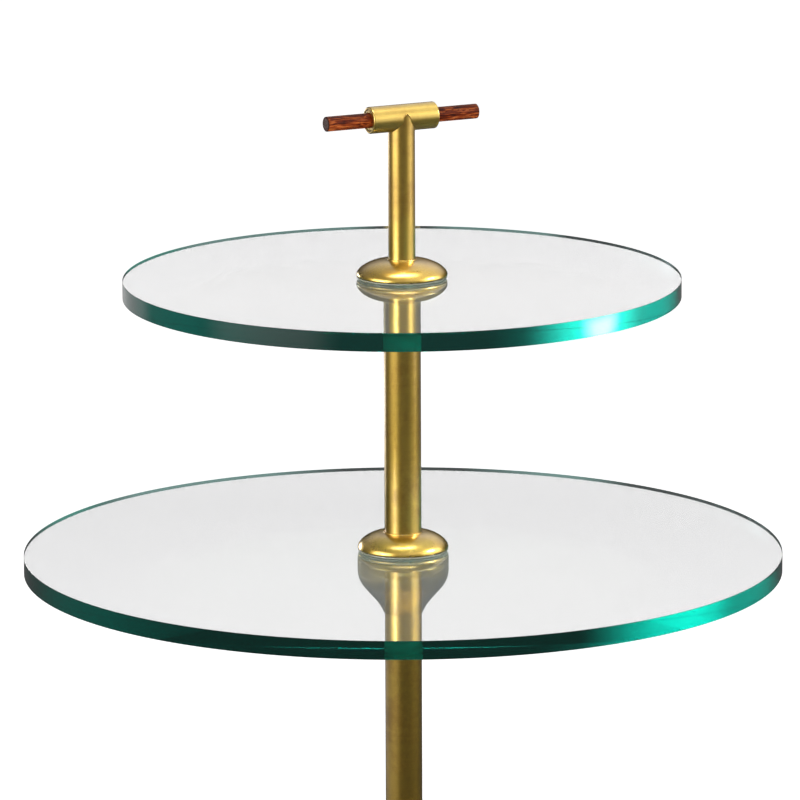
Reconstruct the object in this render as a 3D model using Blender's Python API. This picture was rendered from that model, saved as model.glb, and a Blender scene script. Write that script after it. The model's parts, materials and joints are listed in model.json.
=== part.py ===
"""A two-tier round glass end table on one brass column, clamped from the top by a T-handle.

The stack stands on a weighted round base. A threaded tie rod runs up through all of it, and the
T-handle's nut runs on the rod's upper end: turned to the left, it rises and lifts the upper collar.
Lengths are in metres and +Z is up. The origin is on the floor, on the column's axis.
"""

import math

import bmesh
import bpy
from mathutils import Matrix

# Clearances and cuts
seat_gap = 0.0003
fit_gap = 0.0003
rod_clearance = 0.0003
cut_overrun = 0.001
merge_distance = 0.000001
sharp_edge_angle = math.radians(35)

# Heights of the two tiers and of the handle's bar
lower_tier_height = 0.400
tier_spacing = 0.1905
handle_bar_height = 0.1104

# Glass discs
lower_glass_diameter = 0.5207
upper_glass_diameter = 0.381
lower_glass_thickness = 0.0127
upper_glass_thickness = 0.0127
glass_arris = 0.0008
glass_hole_diameter = 0.017
washer_thickness = 0.001
washer_inset = 0.0003

# Column tubes
column_diameter = 0.0254
column_wall = 0.0016
plug_length = 0.012

# Bun collars, two of them upright on the glass, one inverted under it and one on the base
bun_diameter = 0.0623
bun_height = 0.0112
bun_edge = 0.0007
bun_rim = 0.0004
bun_socket_depth = 0.0055
dome_fullness_share = 1.75

# Bell under the lower glass
bell_diameter = 0.0626
bell_skirt = 0.0094
bell_shoulder_radius = 0.0184
bell_flare_radius = 0.032
bell_lip = 0.0006
bell_socket_depth = 0.018
bell_cone_angle = math.radians(41)
bell_lip_angle = math.radians(22)

# Tie rod, its nut and washer
tie_rod_diameter = 0.010
tie_rod_chamfer = 0.0008
tie_rod_overhang = 0.0012
tie_nut_flats = 0.017
tie_nut_height = 0.008
tie_washer_diameter = 0.030
tie_washer_thickness = 0.0025

# Base
base_diameter = 0.3556
base_height = 0.0254
base_corner_radius = 0.007
base_cover_wall = 0.0016
base_felt_thickness = 0.002
base_felt_inset = 0.004
base_recess_diameter = 0.044
base_recess_depth = 0.014
felt_hole_diameter = 0.052

# Screw clamp in the handle's foot
thread_pitch = 0.0015
release_turns = 9.25
thrust_washer_thickness = 0.0008
spigot_wall = 0.0017
stem_nut_body_length = 0.014
ring_groove_depth = 0.0007
ring_thickness = 0.001
ring_width = 0.0024
ring_recess_depth = 0.0028
spigot_end_clearance = 0.0006

# T-handle
stem_diameter = 0.0184
stem_wall = 0.0016
sleeve_diameter = 0.0184
sleeve_wall = 0.0016
sleeve_length = 0.0495
sleeve_chamfer = 0.0008
bush_length = 0.008
bush_chamfer = 0.0005
handle_rod_diameter = 0.0102
handle_rod_length = 0.1143
handle_rod_chamfer = 0.0006
handle_bar_turn = math.radians(26.5)
set_screw_diameter = 0.004
set_screw_tail = 0.0012
set_screw_point = 0.0007
set_screw_socket_flats = 0.002
set_screw_socket_depth = 0.0018

# Facets round each kind of piece
glass_segments = 72
base_segments = 64
collar_segments = 40
tube_segments = 32
small_segments = 24
hexagon_sides = 6
dome_steps = 7
corner_steps = 4
edge_steps = 2

# Radii that follow from the sizes above
rod_bore_radius = tie_rod_diameter / 2 + rod_clearance
column_radius = column_diameter / 2
column_bore_radius = column_radius - column_wall
column_socket_radius = column_radius + fit_gap
stem_radius = stem_diameter / 2
stem_bore_radius = stem_radius - stem_wall
stem_socket_radius = stem_radius + fit_gap
sleeve_radius = sleeve_diameter / 2
sleeve_bore_radius = sleeve_radius - sleeve_wall
handle_rod_radius = handle_rod_diameter / 2
spigot_radius = rod_bore_radius + spigot_wall
ring_bore_radius = spigot_radius - ring_groove_depth + fit_gap
ring_recess_radius = ring_bore_radius + ring_width + fit_gap

# Stack above each glass and under it
washer_bed = seat_gap + washer_thickness + seat_gap
upper_tier_height = lower_tier_height + tier_spacing
lower_glass_floor = lower_tier_height - lower_glass_thickness
upper_glass_floor = upper_tier_height - upper_glass_thickness
lower_collar_floor = lower_tier_height + washer_bed
upper_collar_floor = upper_tier_height + washer_bed
lower_support_top = lower_glass_floor - washer_bed
upper_support_top = upper_glass_floor - washer_bed
base_collar_floor = base_height + seat_gap
bun_socket_floor = bun_height - bun_socket_depth

# Screw clamp
thread_engaged = release_turns * thread_pitch
stem_floor = upper_collar_floor + bun_socket_floor + seat_gap + thrust_washer_thickness + seat_gap
spigot_floor = upper_collar_floor + spigot_end_clearance
ring_top = upper_collar_floor + ring_recess_depth - seat_gap
handle_axis_height = upper_tier_height + handle_bar_height

# Base and tie rod
base_floor = base_felt_thickness + seat_gap
base_weight_top = base_height - base_cover_wall - seat_gap
base_recess_top = base_floor + base_recess_depth
tie_washer_floor = base_recess_top - seat_gap - tie_washer_thickness
tie_nut_floor = tie_washer_floor - seat_gap - tie_nut_height
tie_rod_floor = tie_nut_floor - tie_rod_overhang
tie_rod_top = spigot_floor + thread_engaged


def material(name, color, roughness, metallic=0.0, transmission=0.0):
    """A Principled material in one plain colour."""
    made = bpy.data.materials.new(name)
    made.use_nodes = True
    shader = made.node_tree.nodes["Principled BSDF"]
    shader.inputs["Base Color"].default_value = (*color, 1.0)
    shader.inputs["Roughness"].default_value = roughness
    shader.inputs["Metallic"].default_value = metallic
    shader.inputs["Transmission Weight"].default_value = transmission
    return made


def place(bm, name, finish, height=0.0, parent=None):
    """Turns a finished bmesh into a smooth-shaded object at a height on the column's axis."""
    bmesh.ops.recalc_face_normals(bm, faces=bm.faces[:])
    mesh = bpy.data.meshes.new(name)
    bm.to_mesh(mesh)
    bm.free()
    mesh.shade_smooth()
    mesh.set_sharp_from_angle(angle=sharp_edge_angle)
    piece = bpy.data.objects.new(name, mesh)
    piece.data.materials.append(finish)
    piece.location = (0, 0, height)
    piece.parent = parent
    bpy.context.scene.collection.objects.link(piece)
    return piece


def spun(outline, segments, closed=True):
    """A bmesh turned about Z from an outline of (radius, height) points."""
    bm = bmesh.new()
    points = [bm.verts.new((radius, 0, height)) for radius, height in outline]
    pairs = list(zip(points, points[1:]))
    if closed:
        pairs.append((points[-1], points[0]))
    edges = [bm.edges.new(pair) for pair in pairs]
    bmesh.ops.spin(
        bm,
        geom=points + edges,
        cent=(0, 0, 0),
        axis=(0, 0, 1),
        angle=math.tau,
        steps=segments,
        use_merge=True,
    )
    bmesh.ops.remove_doubles(bm, verts=bm.verts[:], dist=merge_distance)
    return bm


def arc(centre, radii, start, end, steps, power=1.0):
    """Points along an elliptical arc; a power other than 1 makes it fuller or flatter."""
    points = []
    for step in range(steps + 1):
        angle = start + (end - start) * step / steps
        across = math.copysign(abs(math.cos(angle)) ** power, math.cos(angle))
        up = math.copysign(abs(math.sin(angle)) ** power, math.sin(angle))
        points.append((centre[0] + radii[0] * across, centre[1] + radii[1] * up))
    return points


def side(radius, length, chamfer):
    """The outer side of a round piece from 0 up to its length, with its corners chamfered if asked."""
    if not chamfer:
        return [(radius, 0), (radius, length)]
    return [
        (radius - chamfer, 0),
        (radius, chamfer),
        (radius, length - chamfer),
        (radius - chamfer, length),
    ]


def ring(name, inner_radius, outer_radius, length, finish, height, segments, chamfer=0.0, parent=None):
    """A flat ring or a tube."""
    outline = [(inner_radius, 0), *side(outer_radius, length, chamfer), (inner_radius, length)]
    return place(spun(outline, segments), name, finish, height, parent)


def rod(name, radius, length, finish, height, segments, chamfer=0.0, parent=None):
    """A solid round bar."""
    outline = [(0, 0), *side(radius, length, chamfer), (0, length)]
    return place(spun(outline, segments, closed=False), name, finish, height, parent)


def hexagon_prism(flats, height):
    """A hexagonal prism standing on the origin."""
    bm = bmesh.new()
    corner_radius = flats / 2 / math.cos(math.pi / hexagon_sides)
    bmesh.ops.create_circle(bm, cap_ends=True, segments=hexagon_sides, radius=corner_radius)
    extruded = bmesh.ops.extrude_face_region(bm, geom=bm.faces[:])
    raised = [item for item in extruded["geom"] if isinstance(item, bmesh.types.BMVert)]
    bmesh.ops.translate(bm, verts=raised, vec=(0, 0, height))
    return bm


def cut(piece, cutter):
    """Cuts one piece with another, which stays as a hidden wire guide."""
    cutter.hide_render = True
    cutter.display_type = "WIRE"
    boolean = piece.modifiers.new("cut", "BOOLEAN")
    boolean.operation = "DIFFERENCE"
    boolean.object = cutter


def bun_outline(bore_radius, socket_radius, recess_radius=0.0, recess_depth=0.0):
    """A domed collar with a flat underside at 0, a tube socket in its top and a rod bore."""
    outer_radius = bun_diameter / 2
    rim_radius = socket_radius + bun_rim
    if recess_radius:
        underside = [(bore_radius, recess_depth), (recess_radius, recess_depth), (recess_radius, 0)]
    else:
        underside = [(bore_radius, 0)]
    edge = arc((outer_radius - bun_edge, bun_edge), (bun_edge, bun_edge), -math.pi / 2, 0, edge_steps)
    dome = arc(
        (rim_radius, bun_edge),
        (outer_radius - rim_radius, bun_height - bun_edge),
        0,
        math.pi / 2,
        dome_steps,
        2 / dome_fullness_share,
    )
    socket = [
        (socket_radius, bun_height - bun_rim),
        (socket_radius, bun_socket_floor),
        (bore_radius, bun_socket_floor),
    ]
    return underside + edge + dome[1:] + socket


def bell_outline():
    """The bell from its flat top at 0 down to its lip round the tube, as (radius, height) points."""
    outer_radius = bell_diameter / 2
    lip_radius = column_socket_radius + bell_lip
    shoulder = arc(
        (outer_radius - bell_shoulder_radius, -bell_skirt),
        (bell_shoulder_radius, bell_shoulder_radius),
        0,
        -bell_cone_angle,
        corner_steps,
    )
    shoulder_foot = shoulder[-1]
    flare_reach = bell_flare_radius * (math.cos(bell_lip_angle) - math.cos(bell_cone_angle))
    cone_reach = shoulder_foot[0] - lip_radius - flare_reach
    cone_drop = cone_reach / math.tan(bell_cone_angle)
    flare_start = (shoulder_foot[0] - cone_reach, shoulder_foot[1] - cone_drop)
    flare_centre = (
        flare_start[0] + bell_flare_radius * math.cos(bell_cone_angle),
        flare_start[1] - bell_flare_radius * math.sin(bell_cone_angle),
    )
    flare = arc(
        flare_centre,
        (bell_flare_radius, bell_flare_radius),
        math.pi - bell_cone_angle,
        math.pi - bell_lip_angle,
        corner_steps,
    )
    foot_height = flare[-1][1]
    socket_top = foot_height + bell_socket_depth
    socket = [
        (column_socket_radius, foot_height),
        (column_socket_radius, socket_top),
        (rod_bore_radius, socket_top),
    ]
    outline = [(rod_bore_radius, 0), (outer_radius, 0)] + shoulder + flare + socket
    return outline, socket_top


def base_cover_outline():
    """A spun shell with a rounded upper corner, open underneath, with a rod hole in its top."""
    outer_radius = base_diameter / 2
    top = base_height - base_floor
    corner_centre = (outer_radius - base_corner_radius, top - base_corner_radius)
    inner_corner = base_corner_radius - base_cover_wall
    outside = arc(corner_centre, (base_corner_radius,) * 2, 0, math.pi / 2, corner_steps)
    inside = arc(corner_centre, (inner_corner,) * 2, math.pi / 2, 0, corner_steps)
    rim = [(outer_radius - base_cover_wall, 0), (outer_radius, 0)]
    hole = [(rod_bore_radius, top), (rod_bore_radius, top - base_cover_wall)]
    return rim + outside + hole + inside


def base_weight_outline():
    """An iron disc that fills the cover, with a recess underneath for the tie rod's nut."""
    outer_radius = base_diameter / 2 - base_cover_wall - fit_gap
    top = base_weight_top - base_floor
    corner = base_corner_radius - base_cover_wall
    corner_centre = (outer_radius - corner, top - corner)
    shoulder = arc(corner_centre, (corner, corner), 0, math.pi / 2, edge_steps)
    recess_radius = base_recess_diameter / 2
    recess = [
        (rod_bore_radius, top),
        (rod_bore_radius, base_recess_depth),
        (recess_radius, base_recess_depth),
        (recess_radius, 0),
    ]
    return [(outer_radius, 0)] + shoulder + recess


def build_base(finishes):
    """The felt, iron weight, brass cover and collar, with the tie rod's nut and washer inside."""
    felt_radius = base_diameter / 2 - base_felt_inset
    ring(
        "base_felt",
        felt_hole_diameter / 2,
        felt_radius,
        base_felt_thickness,
        finishes["felt"],
        0,
        base_segments,
    )
    place(spun(base_weight_outline(), base_segments), "base_weight", finishes["iron"], base_floor)
    place(spun(base_cover_outline(), base_segments), "base_cover", finishes["satin_brass"], base_floor)
    bun = bun_outline(rod_bore_radius, column_socket_radius)
    place(spun(bun, collar_segments), "base_collar", finishes["polished_brass"], base_collar_floor)
    ring(
        "tie_washer",
        rod_bore_radius,
        tie_washer_diameter / 2,
        tie_washer_thickness,
        finishes["steel"],
        tie_washer_floor,
        small_segments,
    )
    nut = place(hexagon_prism(tie_nut_flats, tie_nut_height), "tie_nut", finishes["steel"], tie_nut_floor)
    bore = rod(
        "tie_nut_bore",
        rod_bore_radius,
        tie_nut_height + 2 * cut_overrun,
        finishes["steel"],
        tie_nut_floor - cut_overrun,
        small_segments,
    )
    cut(nut, bore)
    rod(
        "tie_rod",
        tie_rod_diameter / 2,
        tie_rod_top - tie_rod_floor,
        finishes["steel"],
        tie_rod_floor,
        small_segments,
        chamfer=tie_rod_chamfer,
    )


def build_tube(name, foot, head, finishes):
    """A column tube between two socket floors, with a plug at each end that centres it on the rod."""
    tube_foot = foot + seat_gap
    tube_head = head - seat_gap
    ring(
        f"{name}_tube",
        column_bore_radius,
        column_radius,
        tube_head - tube_foot,
        finishes["satin_brass"],
        tube_foot,
        tube_segments,
    )
    for end, floor in (("foot", tube_foot), ("head", tube_head - plug_length)):
        ring(
            f"{name}_{end}_plug",
            rod_bore_radius,
            column_bore_radius - fit_gap,
            plug_length,
            finishes["steel"],
            floor,
            small_segments,
        )


def build_tier(name, diameter, thickness, top, finishes):
    """One glass disc with the bush in its hole and a clear washer on each side."""
    hole_radius = glass_hole_diameter / 2
    disc = [
        (hole_radius, 0),
        (diameter / 2 - glass_arris, 0),
        (diameter / 2, glass_arris),
        (diameter / 2, thickness - glass_arris),
        (diameter / 2 - glass_arris, thickness),
        (hole_radius, thickness),
    ]
    floor = top - thickness
    place(spun(disc, glass_segments), f"{name}_glass", finishes["glass"], floor)
    bush_radius = hole_radius - fit_gap
    ring(
        f"{name}_glass_bush",
        rod_bore_radius,
        bush_radius,
        thickness,
        finishes["nylon"],
        floor,
        small_segments,
    )
    return floor


def build_washer(name, inner_radius, outer_diameter, floor, finishes):
    """A thin clear washer between a glass and the metal."""
    outer_radius = outer_diameter / 2 - washer_inset
    ring(name, inner_radius, outer_radius, washer_thickness, finishes["washer"], floor, collar_segments)


def build_lower_tier(finishes):
    """The large glass on its bell, with the collar above it."""
    floor = build_tier("lower", lower_glass_diameter, lower_glass_thickness, lower_tier_height, finishes)
    build_washer("lower_top_washer", rod_bore_radius, bun_diameter, lower_tier_height + seat_gap, finishes)
    bottom_floor = floor - seat_gap - washer_thickness
    build_washer("lower_bottom_washer", rod_bore_radius, bell_diameter, bottom_floor, finishes)
    outline, socket_top = bell_outline()
    place(spun(outline, collar_segments), "lower_support", finishes["satin_brass"], lower_support_top)
    bun = bun_outline(rod_bore_radius, column_socket_radius)
    place(spun(bun, collar_segments), "lower_collar", finishes["polished_brass"], lower_collar_floor)
    return lower_support_top + socket_top


def build_upper_tier(finishes):
    """The small glass on its inverted collar, with its washers."""
    floor = build_tier("upper", upper_glass_diameter, upper_glass_thickness, upper_tier_height, finishes)
    build_washer("upper_top_washer", ring_recess_radius, bun_diameter, upper_tier_height + seat_gap, finishes)
    bottom_floor = floor - seat_gap - washer_thickness
    build_washer("upper_bottom_washer", rod_bore_radius, bun_diameter, bottom_floor, finishes)
    bun = spun(bun_outline(rod_bore_radius, column_socket_radius), collar_segments)
    bmesh.ops.transform(bun, matrix=Matrix.Rotation(math.pi, 4, "X"), verts=bun.verts[:])
    place(bun, "upper_support", finishes["polished_brass"], upper_support_top)


def build_clamp(finishes):
    """The collar that presses on the upper glass, and the washer that the turning stem runs on."""
    bore_radius = spigot_radius + fit_gap
    bun = bun_outline(bore_radius, stem_socket_radius, ring_recess_radius, ring_recess_depth)
    place(spun(bun, collar_segments), "upper_collar", finishes["polished_brass"], upper_collar_floor)
    ring(
        "thrust_washer",
        bore_radius,
        stem_radius,
        thrust_washer_thickness,
        finishes["nylon"],
        upper_collar_floor + bun_socket_floor + seat_gap,
        small_segments,
    )


def build_stem_nut(finishes, turning):
    """The threaded bush in the stem's foot, with a spigot through the collar and its retaining ring."""
    body_radius = stem_bore_radius - fit_gap
    shoulder = stem_floor - spigot_floor
    ring_floor = ring_top - ring_thickness
    groove_radius = spigot_radius - ring_groove_depth
    groove_floor = ring_floor - seat_gap - spigot_floor
    groove_top = ring_top + seat_gap - spigot_floor
    outline = [
        (rod_bore_radius, 0),
        (spigot_radius, 0),
        (spigot_radius, groove_floor),
        (groove_radius, groove_floor),
        (groove_radius, groove_top),
        (spigot_radius, groove_top),
        (spigot_radius, shoulder),
        (body_radius, shoulder),
        (body_radius, shoulder + stem_nut_body_length),
        (rod_bore_radius, shoulder + stem_nut_body_length),
    ]
    place(spun(outline, small_segments), "stem_nut", finishes["steel"], spigot_floor, turning)
    ring(
        "retaining_ring",
        ring_bore_radius,
        ring_bore_radius + ring_width,
        ring_thickness,
        finishes["steel"],
        ring_floor,
        small_segments,
        parent=turning,
    )


def build_handle(finishes):
    """The turning T-handle: a coped stem, a cross sleeve with two bushes, and a rosewood rod."""
    turning = bpy.data.objects.new("handle_turning_axis", None)
    bar = bpy.data.objects.new("handle_bar_axis", None)
    bar.location = (0, 0, handle_axis_height)
    bar.rotation_euler = (0, math.pi / 2, handle_bar_turn)
    bar.parent = turning
    for guide in (turning, bar):
        bpy.context.scene.collection.objects.link(guide)
    build_stem_nut(finishes, turning)

    stem = ring(
        "handle_stem",
        stem_bore_radius,
        stem_radius,
        handle_axis_height - stem_floor,
        finishes["satin_brass"],
        stem_floor,
        tube_segments,
        parent=turning,
    )
    saddle_radius = sleeve_radius + seat_gap
    saddle_length = stem_diameter + 2 * cut_overrun
    saddle = rod(
        "stem_saddle_cutter",
        saddle_radius,
        saddle_length,
        finishes["satin_brass"],
        -saddle_length / 2,
        tube_segments,
        parent=bar,
    )
    cut(stem, saddle)

    sleeve = ring(
        "handle_sleeve",
        sleeve_bore_radius,
        sleeve_radius,
        sleeve_length,
        finishes["satin_brass"],
        -sleeve_length / 2,
        tube_segments,
        chamfer=sleeve_chamfer,
        parent=bar,
    )
    screw_radius = set_screw_diameter / 2
    hole_floor = handle_axis_height - sleeve_radius - cut_overrun
    hole = rod(
        "set_screw_hole_cutter",
        screw_radius + fit_gap,
        sleeve_wall + 2 * cut_overrun,
        finishes["steel"],
        hole_floor,
        small_segments,
    )
    cut(sleeve, hole)

    bush_radius = sleeve_bore_radius - fit_gap
    bush_bore_radius = handle_rod_radius + fit_gap
    for hand, floor in (("left", -sleeve_length / 2), ("right", sleeve_length / 2 - bush_length)):
        ring(
            f"handle_bush_{hand}",
            bush_bore_radius,
            bush_radius,
            bush_length,
            finishes["satin_brass"],
            floor,
            small_segments,
            chamfer=bush_chamfer,
            parent=bar,
        )
    rod(
        "handle_rod",
        handle_rod_radius,
        handle_rod_length,
        finishes["rosewood"],
        -handle_rod_length / 2,
        small_segments,
        chamfer=handle_rod_chamfer,
        parent=bar,
    )

    screw_floor = handle_axis_height - sleeve_radius - set_screw_tail
    screw_top = handle_axis_height - handle_rod_radius - seat_gap
    screw = rod(
        "rod_set_screw",
        screw_radius,
        screw_top - screw_floor,
        finishes["steel"],
        screw_floor,
        small_segments,
        chamfer=set_screw_point,
        parent=turning,
    )
    socket = place(
        hexagon_prism(set_screw_socket_flats, set_screw_socket_depth + cut_overrun),
        "set_screw_socket_cutter",
        finishes["steel"],
        screw_floor - cut_overrun,
    )
    cut(screw, socket)


def main():
    """Builds the table from the floor up."""
    for item in list(bpy.data.objects):
        bpy.data.objects.remove(item, do_unlink=True)
    finishes = {
        "satin_brass": material("satin brass", (0.60, 0.42, 0.13), 0.32, metallic=1.0),
        "polished_brass": material("polished brass", (0.72, 0.50, 0.15), 0.16, metallic=1.0),
        "glass": material("clear plate glass", (0.80, 0.93, 0.88), 0.02, transmission=1.0),
        "washer": material("clear vinyl", (0.62, 0.70, 0.68), 0.25, transmission=0.6),
        "rosewood": material("oiled rosewood", (0.30, 0.07, 0.025), 0.35),
        "steel": material("zinc-plated steel", (0.55, 0.56, 0.57), 0.35, metallic=1.0),
        "nylon": material("white nylon", (0.80, 0.80, 0.77), 0.45),
        "iron": material("cast iron", (0.05, 0.05, 0.05), 0.70, metallic=0.6),
        "felt": material("dark green felt", (0.03, 0.07, 0.04), 0.95),
    }
    build_base(finishes)
    bell_socket_top = build_lower_tier(finishes)
    build_upper_tier(finishes)
    build_tube("lower", base_collar_floor + bun_socket_floor, bell_socket_top, finishes)
    middle_foot = lower_collar_floor + bun_socket_floor
    middle_head = upper_support_top - bun_socket_floor
    build_tube("middle", middle_foot, middle_head, finishes)
    build_clamp(finishes)
    build_handle(finishes)


main()
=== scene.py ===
"""Dresses a two-tier round glass end table for its render.

The table stands on the floor with its column on the Z axis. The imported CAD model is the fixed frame:
each visible round piece is turned again here with finer steps and rounded edges, in the place of its
CAD node, and the pieces hidden inside the column keep their CAD shape and get a finish of their own.
Lengths are in metres, angles in radians.
"""

import json
import logging
import math
from abc import ABC, abstractmethod
from collections.abc import Callable, Sequence
from dataclasses import dataclass, field
from enum import Enum
from functools import partial
from typing import NamedTuple

import bmesh
import bpy
from mathutils import Matrix, Vector

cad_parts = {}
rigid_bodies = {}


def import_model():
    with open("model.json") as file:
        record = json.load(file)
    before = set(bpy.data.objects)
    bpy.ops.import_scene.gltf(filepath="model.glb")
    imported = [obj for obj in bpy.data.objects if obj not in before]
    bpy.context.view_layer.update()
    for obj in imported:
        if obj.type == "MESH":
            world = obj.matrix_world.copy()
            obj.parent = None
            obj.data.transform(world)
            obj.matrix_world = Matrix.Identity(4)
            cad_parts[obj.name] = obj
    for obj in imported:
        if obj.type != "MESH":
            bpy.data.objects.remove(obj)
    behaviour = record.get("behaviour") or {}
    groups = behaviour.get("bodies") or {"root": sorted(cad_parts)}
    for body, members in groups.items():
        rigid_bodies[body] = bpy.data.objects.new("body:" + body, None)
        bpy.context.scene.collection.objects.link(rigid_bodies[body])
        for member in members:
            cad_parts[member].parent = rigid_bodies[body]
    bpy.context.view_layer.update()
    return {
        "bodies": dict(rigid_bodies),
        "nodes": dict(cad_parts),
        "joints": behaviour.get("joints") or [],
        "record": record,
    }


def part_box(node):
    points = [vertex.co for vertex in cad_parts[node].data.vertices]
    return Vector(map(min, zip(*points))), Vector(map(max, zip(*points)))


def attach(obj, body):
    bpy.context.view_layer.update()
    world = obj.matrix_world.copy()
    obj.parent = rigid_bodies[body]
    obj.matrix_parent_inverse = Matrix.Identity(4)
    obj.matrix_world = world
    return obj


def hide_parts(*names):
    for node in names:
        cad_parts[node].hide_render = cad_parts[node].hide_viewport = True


log = logging.getLogger("end_table")

Socket = bpy.types.NodeSocket
AddNode = Callable[..., Socket]

WHITE = "#ffffff"
# A mix node's settings and its output where it mixes colours.
COLOURS = {"data_type": "RGBA", "output": 2}
SMOOTH = {"interpolation_type": "SMOOTHSTEP"}

MERGE_DISTANCE = 0.000001
SHARP_ANGLE = math.radians(32)
# A bevel that goes only this share of the way to its neighbour leaves no doubled point.
GRAZING_INSET = 0.9999
# A ring this far behind each rounding keeps its slant out of the wall's shading.
HOLDING_WIDTH = 0.0002
# The place of a mesh that is made where it belongs.
IN_PLACE = Matrix()

# How bright the studio looks to light that ran the length of a glass.
THROUGH_EDGE = 0.12


class Body(Enum):
    """The bodies that move against each other."""

    TABLE = "table"
    CLAMP = "clamp"
    HANDLE = "handle"


# Colour and node helpers


def linear(hex_colour: str) -> tuple[float, float, float, float]:
    """Turns an sRGB hex colour into linear light, by the standard's own curve.

    Args:
        hex_colour: The colour as "#rrggbb".

    Returns:
        Red, green, blue and an alpha of 1.
    """
    channels = [int(hex_colour[start : start + 2], 16) / 255 for start in (1, 3, 5)]
    light = [c / 12.92 if c <= 0.04045 else ((c + 0.055) / 1.055) ** 2.4 for c in channels]
    return (light[0], light[1], light[2], 1.0)


def add_node(
    tree: bpy.types.NodeTree, kind: str, inputs: dict | Sequence = (), output: int | str = 0, **settings
) -> Socket | None:
    """Adds a shader node with its settings, values and links.

    Args:
        tree: The node tree it goes into.
        kind: The node's type name, without ShaderNode in front.
        inputs: A value or another node's output for each input, in order or by name or number.
        output: The output that is wanted, by name or number.
        settings: Attributes of the node itself.

    Returns:
        That output, whose node gives the others, or None for a node without outputs.
    """
    node = tree.nodes.new(f"ShaderNode{kind}")
    for name, value in settings.items():
        setattr(node, name, value)
    for key, value in inputs.items() if isinstance(inputs, dict) else enumerate(inputs):
        if isinstance(value, Socket):
            tree.links.new(value, node.inputs[key])
        else:
            node.inputs[key].default_value = value
    return node.outputs[output] if len(node.outputs) else None


def emptied(owner: bpy.types.Material | bpy.types.Light | bpy.types.World) -> AddNode:
    """Gives a material, lamp or world an empty node tree.

    Args:
        owner: What the tree belongs to.

    Returns:
        add_node, bound to that tree.
    """
    owner.use_nodes = True
    owner.node_tree.nodes.clear()
    return partial(add_node, owner.node_tree)


def turned_round(add: AddNode, times: int) -> Socket:
    """Tells light that was turned round inside a glass this often or more.

    Args:
        add: add_node, bound to the tree.
        times: The least number of turns. Each one counts as a glossy bounce.

    Returns:
        1 for such light and 0 for the rest.
    """
    depth = add("LightPath", output="Glossy Depth")
    return add("Math", [depth, times - 0.5], operation="GREATER_THAN")


class Ramp(NamedTuple):
    """A level that goes from low to high while a measure goes from start to end."""

    start: float
    end: float
    low: float = 0.0
    high: float = 1.0


@dataclass(frozen=True)
class BarAxis:
    """The line that the handle's bar lies on: its height, and its turn about the column."""

    height: float = 0.7009
    turn: float = math.radians(26.5)

    def place(self, start: float) -> Matrix:
        """The move that lays a piece turned about Z along the bar, from a distance off the column."""
        return (
            Matrix.Translation((0, 0, self.height))
            @ Matrix.Rotation(self.turn, 4, "Z")
            @ Matrix.Rotation(math.pi / 2, 4, "Y")
            @ Matrix.Translation((0, 0, start))
        )

    def level(self, add: AddNode) -> Socket:
        """Object coordinates turned so that X runs along the bar and is 0 at the column."""
        place = add("TexCoord", output="Object")
        centred = add("Mapping", {"Vector": place, "Location": (0, 0, -self.height)})
        return add("Mapping", {"Vector": centred, "Rotation": (0, 0, -self.turn)})


BAR = BarAxis()


def shown(name: str, data: bpy.types.ID) -> bpy.types.Object:
    """Adds an object with this data to the scene."""
    item = bpy.data.objects.new(name, data)
    bpy.context.scene.collection.objects.link(item)
    return item


# Finishes


@dataclass(frozen=True)
class NodeMaterial(ABC):
    """A material that is built from nodes."""

    name: str

    def material(self) -> bpy.types.Material:
        """Builds the material."""
        material = bpy.data.materials.new(self.name)
        add = emptied(material)
        add("OutputMaterial", self.outputs(add))
        return material

    @abstractmethod
    def outputs(self, add: AddNode) -> dict[str, Socket]:
        """Builds the nodes.

        Args:
            add: add_node, bound to the material's tree.

        Returns:
            What goes into the material's output, by the name of its input.
        """


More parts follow.
